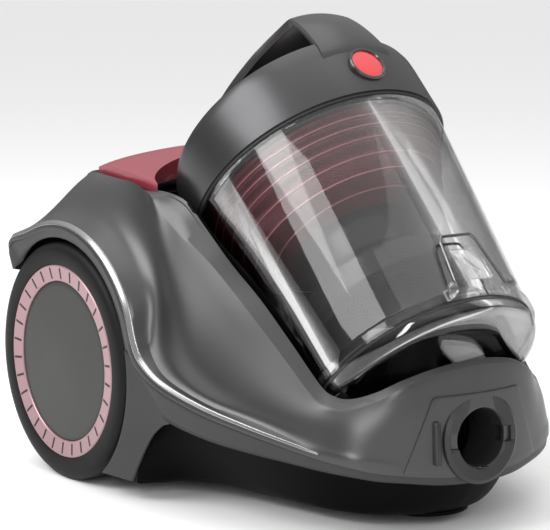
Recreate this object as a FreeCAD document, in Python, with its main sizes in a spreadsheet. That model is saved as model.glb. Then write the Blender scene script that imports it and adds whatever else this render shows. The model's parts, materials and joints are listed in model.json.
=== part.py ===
import FreeCAD, Part, Sketcher
import math
import os
import re

# Canister vacuum cleaner with a tilted see-through dust bin.
# Frame: millimetres, +Z up, the hose nose towards -Y, +X to the right of that nose when looking
# along +Y.  The origin is on the floor, under the centre of the cleaner's box.

SIZES = [
    # alias, value, meaning
    ("half_length", 199.6, "front and rear ends of the casing"),
    ("tray_bottom", 10, "underside of the base tray above the floor"),
    ("tray_top", 50, "parting plane between the tray and the upper shell"),
    ("tray_floor", 3, "thickness of the tray floor"),
    ("deck_height", 216, "deck under the two pedals"),
    ("axle_y", 109.6, "rear axle, along the length"),
    ("axle_z", 90, "rear axle height"),
    ("axle_radius", 6, "stub axle"),
    ("axle_start", 108, "inner end of a stub axle"),
    ("axle_length", 34, "length of a stub axle"),
    ("tyre_radius", 90, "rear tyre"),
    ("rim_radius", 73, "rear rim, outside"),
    ("disc_radius", 60.3, "hub disc"),
    ("tyre_width", 36, "rear tyre, across the tread"),
    ("wheel_inside", 118.6, "inner face of a rear tyre"),
    ("tick_count", 30, "grooves in the accent ring"),
    ("arch_inner", 94, "wheel arch, inside radius"),
    ("arch_outer", 105, "wheel arch, outside radius"),
    ("half_width", 155, "outside of the wheel arches"),
    ("bin_y", -10.6, "centre of the bin rim, along the length"),
    ("bin_z", 227.8, "centre of the bin rim, height"),
    ("bin_tilt", 45, "lean of the bin axis from vertical"),
    ("lid_radius", 101, "bin lid"),
    ("lid_height", 54, "bin lid without its handle"),
    ("lid_wall", 3, "wall of the lid"),
    ("cup_top_radius", 98, "bin cup at the rim"),
    ("cup_foot_radius", 86.4, "bin cup at its foot"),
    ("cup_depth", 172, "bin cup, rim to foot"),
    ("cup_wall", 2.5, "wall of the bin cup"),
    ("seat_depth", 197, "bin seat plate below the bin rim"),
    ("seat_radius", 90.5, "cradle radius at the seat plate"),
    ("cradle_radius", 107.8, "cradle radius at its upper end"),
    ("cradle_top", 56, "upper end of the cradle, past the bin rim"),
    ("cradle_wall", 2.5, "wall of the cradle"),
    ("socket_y", -197.4, "mouth of the hose socket"),
    ("socket_z", 68.5, "height of the hose socket"),
    ("socket_tilt", 4, "upward tilt of the hose socket"),
    ("socket_outer", 32.2, "collar of the hose socket"),
    ("socket_bore", 20.5, "bore of the hose socket"),
    ("socket_length", 30, "length of that bore"),
    ("duct_length", 50, "air duct behind the socket"),
    ("motor_y", 122, "motor axis, along the length"),
    ("motor_z", 104, "motor axis, height"),
    ("motor_left", -100, "left end of the motor housing"),
    ("motor_length", 125, "motor housing"),
    ("motor_radius", 58, "motor housing, outside"),
    ("shaft_radius", 4, "motor shaft"),
    ("reel_y", 122, "cord reel axis, along the length"),
    ("reel_z", 96, "cord reel axis, height"),
    ("reel_left", 37, "left face of the cord reel"),
    ("reel_width", 58, "cord reel, across both flanges"),
    ("reel_radius", 65, "cord reel flange"),
    ("caster_y", -133, "swivel axis of the front caster"),
    ("caster_trail", 10, "caster wheel behind its swivel axis"),
    ("caster_radius", 13, "caster wheel"),
    ("caster_width", 12, "caster wheel, across the tread"),
    ("hinge_y", 83.5, "flap hinge behind the bin axis"),
    ("hinge_depth", 176.5, "flap hinge below the bin rim"),
    ("hinge_pin", 1.5, "flap hinge pin radius"),
    ("bail_out", 91.5, "bail wire in front of the bin axis"),
    ("bail_depth", 168, "bail pivot below the bin rim"),
    ("bail_wire", 1.3, "bail wire radius"),
    ("pedal_hinge_y", 151.6, "hinge of the two pedals"),
    ("pedal_hinge_z", 227, "height of that hinge"),
    ("running_gap", 0.05, "radial clearance of a shaft in its bore"),
]

doc = FreeCAD.newDocument("canister_vacuum")
sheet = doc.addObject("Spreadsheet::Sheet", "Sizes")
for row, (alias, value, meaning) in enumerate(SIZES, start=1):
    sheet.set(f"A{row}", alias)
    sheet.set(f"B{row}", str(value))
    sheet.setAlias(f"B{row}", alias)
    sheet.set(f"C{row}", meaning)
doc.recompute()

ALIASES = {alias for alias, value, meaning in SIZES}
V = FreeCAD.Vector
subparts = []


def expression(text):
    """The same expression, with every alias pointing at the sheet."""
    return re.sub(
        r"[a-z_]+",
        lambda word: "Sizes." + word.group() if word.group() in ALIASES else word.group(),
        str(text),
    )


def size(text):
    """The number that an expression over the sheet gives."""
    return float(sheet.evalExpression(expression(text)))


def bind(thing, **properties):
    """Set properties from expressions over the sheet."""
    for name, text in properties.items():
        thing.setExpression(name, expression(text))


def place(thing, base=(0, 0, 0), rotation=None):
    """Put a thing at a place given by three expressions, turned by a rotation."""
    turn = rotation or FreeCAD.Rotation()
    thing.Placement = FreeCAD.Placement(V(*[size(text) for text in base]), turn)
    for letter, text in zip("xyz", base):
        thing.setExpression(f"Placement.Base.{letter}", expression(text))
    return thing


ALONG_X = FreeCAD.Rotation(V(0, 1, 0), 90)
TOWARDS_MINUS_X = FreeCAD.Rotation(V(0, 1, 0), -90)
BIN_TURN = FreeCAD.Rotation(V(1, 0, 0), -size("bin_tilt"))
BIN_BASE = ("0", "bin_y", "bin_z")
BIN_PLACE = FreeCAD.Placement(V(0, size("bin_y"), size("bin_z")), BIN_TURN)


def keep(thing, node):
    """Name a finished sub-part after its node."""
    thing.Label = node
    subparts.append(thing)
    return thing


def origin_plane(body, role):
    return next(item for item in body.Origin.OriginFeatures if item.Role == role)


def outline_sketch(body, name, role, points):
    """A closed outline of straight runs whose corners are bound to the sheet."""
    sketch = body.newObject("Sketcher::SketchObject", name)
    sketch.AttachmentSupport = [(origin_plane(body, role), "")]
    sketch.MapMode = "FlatFace"
    corners = [V(size(across), size(along), 0) for across, along in points]
    for start, end in zip(corners, corners[1:] + corners[:1]):
        sketch.addGeometry(Part.LineSegment(start, end), False)
    count = len(corners)
    for index in range(count):
        sketch.addConstraint(Sketcher.Constraint("Coincident", index, 2, (index + 1) % count, 1))
    for index, (across, along) in enumerate(points):
        for kind, text, number in (
            ("DistanceX", across, corners[index].x),
            ("DistanceY", along, corners[index].y),
        ):
            place_at = sketch.addConstraint(Sketcher.Constraint(kind, -1, 1, index, 1, number))
            sketch.setExpression(f"Constraints[{place_at}]", expression(text))
    return sketch


def turned(node, profile, base, rotation=None):
    """A body of revolution about its own Z from (radius, height) corners."""
    body = doc.addObject("PartDesign::Body", "body_" + node)
    sketch = outline_sketch(body, "profile_" + node, "XZ_Plane", profile)
    turn = body.newObject("PartDesign::Revolution", "turn_" + node)
    turn.Profile = sketch
    turn.ReferenceAxis = (sketch, ["V_Axis"])
    turn.Angle = 360.0
    sketch.Visibility = False
    body.Tip = turn
    place(body, base, rotation)
    return keep(body, node)


def cylinder(radius, height, base, rotation=None):
    rod = doc.addObject("Part::Cylinder", "rod")
    bind(rod, Radius=radius, Height=height)
    return place(rod, base, rotation)


def block(lengths, corner, rotation=None):
    box = doc.addObject("Part::Box", "block")
    bind(box, Length=lengths[0], Width=lengths[1], Height=lengths[2])
    return place(box, corner, rotation)


def fused(*pieces):
    joined = doc.addObject("Part::MultiFuse", "joined")
    joined.Shapes = list(pieces)
    return joined


def cut(base, tool):
    result = doc.addObject("Part::Cut", "cut")
    result.Base = base
    result.Tool = tool
    return result


def freeform(shape, name="freeform"):
    """A shape made with Part's own functions, from sizes read off the sheet."""
    feature = doc.addObject("Part::Feature", name)
    feature.Shape = shape
    return feature


def polygon(points):
    """A closed wire through 3-D points."""
    return Part.makePolygon([V(*point) for point in points] + [V(*points[0])])


def mirrored_outline(half, height, scale=1.0):
    """A closed plan outline from the corners of its right half, front to rear."""
    right = [(x * scale, y * scale, height) for x, y in half]
    left = [(-x, y, z) for x, y, z in reversed(right) if x > 0]
    return polygon(right + left)


def side_prism(points, half_width):
    """A side view outline, (Y, Z) corners, made as wide as twice half_width."""
    face = Part.Face(polygon([(-half_width, y, z) for y, z in points]))
    return face.extrude(V(2 * half_width, 0, 0))


# ---------------------------------------------------------------- casing shapes
LENGTH = size("half_length")
WALL_SCALE = 0.98
TRAY_FOOT = [(0, -171), (22, -168), (38, -157), (54, -142), (68, -126), (84, -108), (104, -78),
             (122, -44), (132, -12), (136, 8), (111, 12), (111, 184), (98, 195), (0, 196)]
CREASE = [(0, -LENGTH + 4), (22, -192), (40, -184), (56, -171), (72, -156), (94, -132),
          (120, -96), (138, -56), (149, -12), (152, 12), (115, 15), (115, 188), (101, LENGTH - 1),
          (0, LENGTH)]
SHOULDER = [(0, -166), (18, -162), (34, -152), (50, -140), (66, -126), (84, -108), (100, -82),
            (112, -47), (117, -12), (118, 12), (113, 15), (101, 178), (88, 185), (0, 190)]
SHELL_TOP = 240


def tray_solid(scale, bottom):
    """The base tray filled solid, flaring from its foot up to the parting plane."""
    return Part.makeLoft([
        mirrored_outline(TRAY_FOOT, bottom, scale),
        mirrored_outline(CREASE, size("tray_top"), scale),
    ], True, True)


def shell_solid(scale, drop):
    """The upper casing filled solid: a tapering plan outline under a side view outline."""
    loft = Part.makeLoft([
        mirrored_outline(CREASE, size("tray_top"), scale),
        mirrored_outline(SHOULDER, SHELL_TOP, scale),
    ], True, True)
    low = size("tray_top") - 1
    deck = size("deck_height") - drop
    front = LENGTH + 5 - drop
    side = [(-front, low), (-front + 5, 60), (-184 + drop, 121 - drop), (-156, 97 - drop),
            (36, 218 - drop), (39, deck), (157.6, deck), (160.6, 233 - drop), (178, 216 - drop),
            (196, 170 - drop), (front, 110), (front, low)]
    return loft.common(side_prism(side, 170))


def bin_space(grow):
    """The room that the bin needs: a tapered trough, swept up where the lid rises."""
    def trough_wire(radius, depth):
        left, right = V(-radius, 0, depth), V(radius, 0, depth)
        bottom = V(0, radius, depth)
        reach = -260
        arc = Part.Arc(left, bottom, right).toShape()
        sides = Part.makePolygon([right, V(radius, reach, depth), V(-radius, reach, depth), left])
        return Part.Wire([arc] + list(sides.Edges))
    low = size("seat_radius") + grow
    high = size("cradle_radius") + grow
    top = size("cradle_top")
    trough = Part.makeLoft([
        trough_wire(low, -size("seat_depth") - grow),
        trough_wire(high, top),
    ], True, True)
    trough.Placement = BIN_PLACE
    disc = Part.Face(Part.Wire(Part.makeCircle(high, V(0, 0, top), V(0, 0, 1))))
    disc.Placement = BIN_PLACE
    return trough.fuse(disc.extrude(V(0, 0, 160)))


# ---------------------------------------------------------------- base tray
tray = tray_solid(1.0, size("tray_bottom"))
tray = tray.cut(tray_solid(WALL_SCALE, size("tray_bottom + tray_floor")))
caster_hole = Part.makeCylinder(32, 30, V(0, size("caster_y"), 0))
for rib_x in (-97, 16):
    tray = tray.fuse(Part.makeBox(6, 90, 60, V(rib_x, 77, 12)))
motor_bed = Part.makeCylinder(
    size("motor_radius"), 200, V(-120, size("motor_y"), size("motor_z")), V(1, 0, 0))
tray = tray.cut(motor_bed)
for post_x in (-84, -2):
    for post_y in (66, 108):
        tray = tray.fuse(Part.makeCylinder(3, 12, V(post_x, post_y, 12)))
socket_axis = V(0, math.cos(math.radians(size("socket_tilt"))),
                -math.sin(math.radians(size("socket_tilt"))))
socket_mouth = V(0, size("socket_y"), size("socket_z"))
socket_hole = Part.makeCylinder(
    size("socket_outer") + 0.3, 60, socket_mouth - socket_axis * 30, socket_axis)
socket_room = Part.makeBox(72, 40, 60, V(-36, -205, 34))
keep(freeform(tray.cut(caster_hole).cut(socket_room)), "base_tray")

# ---------------------------------------------------------------- upper shell with wheel arches
arch_gap = Part.makeCylinder(
    size("arch_inner"), 320, V(-160, size("axle_y"), size("axle_z")), V(1, 0, 0))
shell = shell_solid(1.0, 0)
hollow = shell_solid(WALL_SCALE, 3)
arch_ring = Part.makeCylinder(
    size("arch_outer"), size("2 * half_width"),
    V(-size("half_width"), size("axle_y"), size("axle_z")), V(1, 0, 0))
arch_ring = arch_ring.cut(arch_gap)
between_wheels = Part.makeBox(226, 400, 400, V(-113, -100, 0))
arch_ring = arch_ring.cut(between_wheels)
arch_sector = side_prism([(110, 90), (12.6, 116), (12.6, 240), (150, 240), (260, 240)], 170)
shell = shell.cut(hollow).fuse(arch_ring.common(arch_sector))
shell = shell.cut(bin_space(size("cradle_wall")))
for sign in (-1, 1):
    boss_start = V(sign * 104, size("axle_y"), size("axle_z"))
    shell = shell.fuse(Part.makeCylinder(13, 9.5, boss_start, V(sign, 0, 0)))
    shell = shell.cut(Part.makeCylinder(size("axle_radius"), 30, boss_start, V(sign, 0, 0)))
    lug_corner = V(89.5 if sign > 0 else -92, size("pedal_hinge_y") - 3, size("deck_height") - 1)
    shell = shell.fuse(Part.makeBox(2.5, 6, 15, lug_corner))
hinge_line = V(-100, size("pedal_hinge_y"), size("pedal_hinge_z"))
shell = shell.cut(Part.makeCylinder(size("hinge_pin"), 200, hinge_line, V(1, 0, 0)))
grille_hole = Part.makeBox(96, 20, 56, V(-92, LENGTH - 16, 78))
gland_hole = Part.makeCylinder(8.2, 30, V(70, LENGTH - 20, 80), V(0, 1, 0))
shell = shell.cut(socket_hole).cut(grille_hole).cut(gland_hole)
keep(freeform(shell), "upper_shell")

# ---------------------------------------------------------------- bin cradle
cradle_room = shell_solid(1.0, 0).fuse(Part.makeBox(224, 185, 37, V(-112, -127, 14)))
cradle = bin_space(size("cradle_wall")).cut(bin_space(0)).common(cradle_room)
duct_hole = Part.makeCylinder(22, 90, socket_mouth + socket_axis * 20, socket_axis)
outlet_hole = Part.makeBox(60, 40, 30, V(-30, -2, 90))
cradle = cradle.cut(duct_hole).cut(outlet_hole)
biggest = max(cradle.Solids, key=lambda solid: solid.Volume)
keep(freeform(biggest), "bin_cradle")

# ---------------------------------------------------------------- hose socket and duct
SOCKET_TURN = FreeCAD.Rotation(V(0, 0, 1), socket_axis)
SOCKET_BASE = ("0", "socket_y", "socket_z")
collar = doc.addObject("PartDesign::Body", "body_hose_socket")
collar_sketch = outline_sketch(collar, "profile_hose_socket", "XZ_Plane", [
    ("socket_bore", "0"), ("socket_outer", "0"), ("socket_outer", "9"),
    ("socket_bore + 3", "12"), ("socket_bore + 3", "socket_length"),
    ("socket_bore", "socket_length")])
collar_turn = collar.newObject("PartDesign::Revolution", "turn_hose_socket")
collar_turn.Profile = collar_sketch
collar_turn.ReferenceAxis = (collar_sketch, ["V_Axis"])
collar_turn.Angle = 360.0
collar.Tip = collar_turn
notch = block(("59", "7", "8"), ("-29.5", "-3.5", "-1"))
hose_socket = cut(collar, notch)
keep(place(hose_socket, SOCKET_BASE, SOCKET_TURN), "hose_socket")

turned("duct_seal", [
    ("socket_bore", "socket_length"), ("socket_bore + 5", "socket_length"),
    ("socket_bore + 5", "socket_length + 4"), ("socket_bore", "socket_length + 4"),
], SOCKET_BASE, SOCKET_TURN)
duct = Part.makeCylinder(23, size("duct_length"), V(0, 0, size("socket_length + 4")))
duct = duct.cut(Part.makeCylinder(21, 90, V(0, 0, size("socket_length"))))
duct.Placement = FreeCAD.Placement(socket_mouth, SOCKET_TURN)
keep(freeform(duct.cut(bin_space(size("cradle_wall") + 0.2))), "inlet_duct")

# ---------------------------------------------------------------- rear wheels
for side, sign, turn in (("left", "-1", TOWARDS_MINUS_X), ("right", "1", ALONG_X)):
    hub_base = (f"{sign} * wheel_inside", "axle_y", "axle_z")
    turned("tyre_" + side, [
        ("rim_radius", "0"), ("tyre_radius - 5", "0"), ("tyre_radius - 1", "2"),
        ("tyre_radius", "6"), ("tyre_radius", "tyre_width - 6"),
        ("tyre_radius - 1", "tyre_width - 2"), ("tyre_radius - 5", "tyre_width"),
        ("rim_radius", "tyre_width")], hub_base, turn)
    turned("wheel_rim_" + side, [
        ("axle_radius + running_gap", "2"), ("14", "2"), ("14", "12"), ("66", "12"), ("66", "2"),
        ("rim_radius", "2"), ("rim_radius", "31"), ("62", "31"), ("62", "18"), ("14", "18"),
        ("14", "24"), ("axle_radius + running_gap", "24")], hub_base, turn)
    ring = doc.addObject("PartDesign::Body", "body_accent_ring_" + side)
    ring_sketch = outline_sketch(ring, "profile_accent_ring_" + side, "XZ_Plane", [
        ("disc_radius + 0.1", "31"), ("rim_radius", "31"), ("rim_radius", "35.6"),
        ("disc_radius + 0.1", "33.8")])
    ring_turn = ring.newObject("PartDesign::Revolution", "turn_accent_ring_" + side)
    ring_turn.Profile = ring_sketch
    ring_turn.ReferenceAxis = (ring_sketch, ["V_Axis"])
    ring_turn.Angle = 360.0
    groove_sketch = ring.newObject("Sketcher::SketchObject", "groove_sketch_" + side)
    groove_sketch.AttachmentSupport = [(origin_plane(ring, "XY_Plane"), "")]
    groove_sketch.MapMode = "FlatFace"
    groove_sketch.AttachmentOffset = FreeCAD.Placement(V(0, 0, 36), FreeCAD.Rotation())
    corners = [V(62, -1, 0), V(71, -1, 0), V(71, 1, 0), V(62, 1, 0)]
    for start, end in zip(corners, corners[1:] + corners[:1]):
        groove_sketch.addGeometry(Part.LineSegment(start, end), False)
    groove = ring.newObject("PartDesign::Pocket", "groove_" + side)
    groove.Profile = groove_sketch
    groove.Length = 3.0
    pattern = ring.newObject("PartDesign::PolarPattern", "grooves_" + side)
    pattern.Originals = [groove]
    pattern.Axis = (ring_sketch, ["V_Axis"])
    pattern.Angle = 360.0
    pattern.setExpression("Occurrences", expression("tick_count"))
    ring.Tip = pattern
    place(ring, hub_base, turn)
    keep(ring, "accent_ring_" + side)
    turned("hub_disc_" + side, [
        ("0", "28"), ("disc_radius", "28"), ("disc_radius", "33"), ("54", "33.4"),
        ("0", "34.2")], hub_base, turn)
    keep(cylinder("axle_radius", "axle_length", (f"{sign} * axle_start", "axle_y", "axle_z"),
                  turn), "axle_" + side)

# ---------------------------------------------------------------- front caster
CASTER_BASE = ("0", "caster_y", "0")
cup = fused(
    cylinder("33", "3", ("0", "caster_y", "30.5")),
    cylinder("9", "7", ("0", "caster_y", "31")))
cup_wall = cut(cylinder("33", "20", ("0", "caster_y", "13")),
               cylinder("31.5", "30", ("0", "caster_y", "10")))
cup = cut(fused(cup, cup_wall), cylinder("4 + running_gap", "60", CASTER_BASE))
keep(cup, "caster_cup")
fork_top = cylinder("13", "2.5", ("0", "caster_y", "27.3"))
fork_bridge = block(("19", "caster_trail + 4", "2.5"), ("-9.5", "caster_y", "27.3"))
fork_arms = [block(("3", "10", "20"), (corner, "caster_y + caster_trail - 5", "8"))
             for corner in ("-9.5", "6.5")]
fork_stem = cylinder("4", "9", ("0", "caster_y", "28"))
axle_bore = cylinder("2", "40", ("-20", "caster_y + caster_trail", "caster_radius"), ALONG_X)
keep(cut(fused(fork_top, fork_bridge, fork_stem, *fork_arms), axle_bore), "caster_fork")
keep(cylinder("2", "19", ("-9.5", "caster_y + caster_trail", "caster_radius"), ALONG_X),
     "caster_pin")
turned("caster_wheel", [
    ("2 + running_gap", "0"), ("caster_radius - 2", "0"), ("caster_radius", "2"),
    ("caster_radius", "caster_width - 2"), ("caster_radius - 2", "caster_width"),
    ("2 + running_gap", "caster_width")],
    ("-caster_width / 2", "caster_y + caster_trail", "caster_radius"), ALONG_X)

# ---------------------------------------------------------------- motor
MOTOR_BASE = ("motor_left", "motor_y", "motor_z")
turned("motor_housing", [
    ("20", "0"), ("motor_radius", "0"), ("motor_radius", "motor_length - 3"),
    ("motor_radius - 3", "motor_length - 3"), ("motor_radius - 3", "3"), ("20", "3")],
    MOTOR_BASE, ALONG_X)
turned("motor_housing_cap", [
    ("24", "motor_length - 3"), ("motor_radius", "motor_length - 3"),
    ("motor_radius", "motor_length"), ("24", "motor_length")], MOTOR_BASE, ALONG_X)


def ring_pair(node, inner, outer, width, starts):
    """Two equal rings on the motor axis, as one group."""
    rings = [
        cut(cylinder(outer, width, (f"motor_left + {start}", "motor_y", "motor_z"), ALONG_X),
            cylinder(inner, "200", ("motor_left - 20", "motor_y", "motor_z"), ALONG_X))
        for start in starts]
    return keep(fused(*rings), node)


ring_pair("motor_mounts", "44", "motor_radius - 3.2", "6", ("3", "motor_length - 9"))
ring_pair("motor_bearings", "shaft_radius + running_gap", "9", "7", ("12", "84"))
turned("stator", [
    ("30", "20"), ("50", "20"), ("50", "75"), ("30", "75")], MOTOR_BASE, ALONG_X)
turned("motor_frame", [
    ("9", "12"), ("52", "12"), ("52", "82"), ("50", "82"), ("50", "14.5"), ("9", "14.5")],
    MOTOR_BASE, ALONG_X)
turned("armature", [
    ("0", "6"), ("shaft_radius", "6"), ("shaft_radius", "26"), ("27", "26"), ("27", "70"),
    ("15", "70"), ("15", "80"), ("shaft_radius", "80"), ("shaft_radius", "116"),
    ("0", "116")], MOTOR_BASE, ALONG_X)
turned("fan_back_plate", [
    ("9", "84"), ("52", "84"), ("52", "87"), ("9", "87")], MOTOR_BASE, ALONG_X)
turned("impeller", [
    ("shaft_radius", "94"), ("46", "94"), ("46", "96"), ("12", "96"), ("12", "106"),
    ("shaft_radius", "106")], MOTOR_BASE, ALONG_X)
turned("fan_cover", [
    ("50", "87"), ("52", "87"), ("52", "110"), ("22", "110"), ("22", "108"), ("50", "108")],
    MOTOR_BASE, ALONG_X)
brushes = fused(*[
    block(("8", "6", "11"), ("motor_left + 71", "motor_y - 3", height))
    for height in ("motor_z + 15.5", "motor_z - 26.5")])
keep(brushes, "carbon_brushes")

# ---------------------------------------------------------------- cord reel
REEL_BASE = ("reel_left", "reel_y", "reel_z")
turned("cord_reel", [
    ("6 + running_gap", "8"), ("30", "8"), ("30", "2"), ("reel_radius", "2"),
    ("reel_radius", "5"), ("34", "5"), ("34", "reel_width - 5"),
    ("reel_radius", "reel_width - 5"), ("reel_radius", "reel_width - 2"), ("30", "reel_width - 2"),
    ("30", "12"), ("6 + running_gap", "12")], REEL_BASE, ALONG_X)
turned("reel_spindle", [
    ("0", "-6"), ("6", "-6"), ("6", "reel_width + 3"), ("0", "reel_width + 3")],
    REEL_BASE, ALONG_X)
turned("reel_spring", [
    ("8", "14"), ("27", "14"), ("27", "26"), ("8", "26")], REEL_BASE, ALONG_X)
bracket_plate = block(("3", "90", "100"), ("reel_left - 6", "reel_y - 45", "13"))
bracket_bore = cylinder("6", "20", ("reel_left - 10", "reel_y", "reel_z"), ALONG_X)
keep(cut(bracket_plate, bracket_bore), "reel_bracket")

# ---------------------------------------------------------------- filters and electrics
filter_shell = cut(block(("120", "60", "31"), ("-85", "-12", "13")),
                   block(("114", "54", "40"), ("-82", "-9", "18")))
filter_window = block(("90", "30", "10"), ("-70", "3", "10"))
keep(cut(filter_shell, filter_window), "motor_filter_tray")
keep(block(("113.4", "53.4", "22"), ("-81.7", "-8.7", "19")), "motor_filter_foam")
grille = block(("95.4", "4", "55.4"), ("-91.7", "half_length - 5", "78.3"))
slots = [block(("80", "10", "3"), ("-84", "half_length - 8", f"{83 + 8 * index}"))
         for index in range(6)]
keep(cut(grille, fused(*slots)), "exhaust_grille")
keep(block(("92", "10", "52"), ("-90", "half_length - 16", "80")), "exhaust_filter")
keep(block(("90", "50", "1.6"), ("-88", "62", "24")), "control_board")
keep(block(("22", "14", "18"), ("-70", "128", "deck_height - 21")), "power_switch")
keep(cylinder("hinge_pin", "184", ("-92", "pedal_hinge_y", "pedal_hinge_z"), ALONG_X),
     "pedal_hinge_rod")
gland = cut(cylinder("8", "14", ("70", "half_length - 14", "80"),
                     FreeCAD.Rotation(V(1, 0, 0), -90)),
            cylinder("4.5", "30", ("70", "half_length - 20", "80"),
                     FreeCAD.Rotation(V(1, 0, 0), -90)))
keep(gland, "cord_gland")

# ---------------------------------------------------------------- bin cup and its fittings
wall_top = "cup_top_radius - cup_wall"
wall_foot = "cup_foot_radius - cup_wall"
cup_body = doc.addObject("PartDesign::Body", "body_bin_cup")
cup_sketch = outline_sketch(cup_body, "profile_bin_cup", "XZ_Plane", [
    (wall_top, "-0.3"), ("cup_top_radius", "-0.3"),
    ("cup_foot_radius + 0.4", "-cup_depth + 6"), ("cup_foot_radius + 1.6", "-cup_depth + 5"),
    ("cup_foot_radius + 1.6", "-cup_depth"), (wall_foot, "-cup_depth")])
cup_turn = cup_body.newObject("PartDesign::Revolution", "turn_bin_cup")
cup_turn.Profile = cup_sketch
cup_turn.ReferenceAxis = (cup_sketch, ["V_Axis"])
cup_turn.Angle = 360.0
cup_body.Tip = cup_turn
hinge_lugs = [block(("8", "7", "9"), (corner, "hinge_y - 3.5", "-cup_depth - 8"))
              for corner in ("-17", "9")]
bail_lugs = [block(("4", "14", "8"), (corner, "-bail_out - 3.5", "-cup_depth"))
             for corner in ("-27.5", "23.5")]
hinge_bore = cylinder("hinge_pin", "60", ("-30", "hinge_y", "-hinge_depth"), ALONG_X)
bail_bore = cylinder("bail_wire + running_gap", "70", ("-35", "-bail_out", "-bail_depth"), ALONG_X)
cup_all = cut(cut(fused(cup_body, *hinge_lugs, *bail_lugs), hinge_bore), bail_bore)
keep(place(cup_all, BIN_BASE, BIN_TURN), "bin_cup")
pin = fused(
    cylinder("hinge_pin", "34", ("-17", "hinge_y", "-hinge_depth"), ALONG_X),
    cylinder("hinge_pin + 0.9", "1.5", ("17", "hinge_y", "-hinge_depth"), ALONG_X))
keep(place(pin, BIN_BASE, BIN_TURN), "flap_hinge_pin")

flap_disc = cut(cylinder("cup_foot_radius - 1", "4", ("0", "0", "-cup_depth - 6")),
                block(("200", "60", "30"), ("-100", "hinge_y - 5", "-cup_depth - 20")))
flap_arm = block(("16", "16", "4"), ("-8", "hinge_y - 14", "-cup_depth - 6"))
flap_knuckle = cylinder("3.5", "16", ("-8", "hinge_y", "-hinge_depth"), ALONG_X)
flap_bore = cylinder("hinge_pin + running_gap", "60", ("-30", "hinge_y", "-hinge_depth"), ALONG_X)
flap = cut(fused(flap_disc, flap_arm, flap_knuckle), flap_bore)
keep(place(flap, BIN_BASE, BIN_TURN), "bottom_flap")
seal = cut(cylinder("cup_foot_radius - 1.1", "1.9", ("0", "0", "-cup_depth - 2")),
           cylinder("cup_foot_radius - 2.4", "10", ("0", "0", "-cup_depth - 5")))
seal = cut(seal, block(("200", "60", "30"), ("-100", "hinge_y - 5", "-cup_depth - 20")))
keep(place(seal, BIN_BASE, BIN_TURN), "flap_seal")


def rod_between(start, end, radius):
    axis = V(*end) - V(*start)
    return Part.makeCylinder(radius, axis.Length, V(*start), axis)


wire = size("bail_wire")
front = -size("bail_out")
pivot = -size("bail_depth")
foot_x, head_x, head = 21.3, 14.5, -124
wire_path = [(-27.5, front, pivot), (-foot_x, front, pivot), (-head_x, front - 1, head),
             (head_x, front - 1, head), (foot_x, front, pivot), (27.5, front, pivot)]
bail = rod_between(wire_path[0], wire_path[1], wire)
for start, end in zip(wire_path[1:], wire_path[2:]):
    bail = bail.fuse(rod_between(start, end, wire)).fuse(Part.makeSphere(wire, V(*start)))
bail = freeform(bail)
keep(place(bail, BIN_BASE, BIN_TURN), "bail_wire_loop")
lever = freeform(Part.makeBox(24, 2.4, 30, V(-12, front - 2.4, -162)).fuse(
    Part.makeBox(38, 2.0, 5, V(-19, front - 1.8, -160))))
keep(place(lever, BIN_BASE, BIN_TURN), "latch_lever")

# ---------------------------------------------------------------- bin lid with its handle
lid_body = doc.addObject("PartDesign::Body", "body_bin_lid")
lid_sketch = outline_sketch(lid_body, "profile_bin_lid", "XZ_Plane", [
    ("lid_radius - lid_wall", "0"), ("lid_radius", "0"), ("lid_radius - 1.5", "lid_height - 14"),
    ("lid_radius - 11", "lid_height"), ("0", "lid_height"),
    ("0", "lid_height - lid_wall"), ("lid_radius - 13", "lid_height - lid_wall"),
    ("lid_radius - lid_wall - 1.5", "lid_height - 15")])
lid_turn = lid_body.newObject("PartDesign::Revolution", "turn_bin_lid")
lid_turn.Profile = lid_sketch
lid_turn.ReferenceAxis = (lid_sketch, ["V_Axis"])
lid_turn.Angle = 360.0
lid_body.Tip = lid_turn
handle_view = [(-99.5, 40), (-98, 62), (-93, 76), (-85, 89), (-72, 89), (-36, 84), (0, 78),
               (50, 66), (80, 52), (80, 50), (-85, 50)]
grip_view = [(-82, 56), (-80, 70), (-74, 80), (-40, 74), (0, 68), (40, 58), (42, 55)]
handle = side_prism(handle_view, 38).cut(side_prism(grip_view, 60))
lid = fused(lid_body, freeform(handle))
keep(place(lid, BIN_BASE, BIN_TURN), "bin_lid")
FRONT_TURN = FreeCAD.Rotation(V(1, 0, 0), 90)
badge_disc = cylinder("13", "2.6", ("0", "-lid_radius + 1", "24"), FRONT_TURN)
badge_rim = cut(cylinder("14.5", "3.2", ("0", "-lid_radius + 1.4", "24"), FRONT_TURN),
                cylinder("12.8", "9", ("0", "-lid_radius + 3", "24"), FRONT_TURN))
badge = cut(fused(badge_disc, badge_rim), cylinder("lid_radius", "60", ("0", "0", "0")))
keep(place(badge, BIN_BASE, BIN_TURN), "lid_badge")
turned("lid_seal", [
    ("90.5", "-5"), ("94.8", "-5"), ("94.8", "-0.4"), ("90.5", "-0.4")], BIN_BASE, BIN_TURN)

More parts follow.
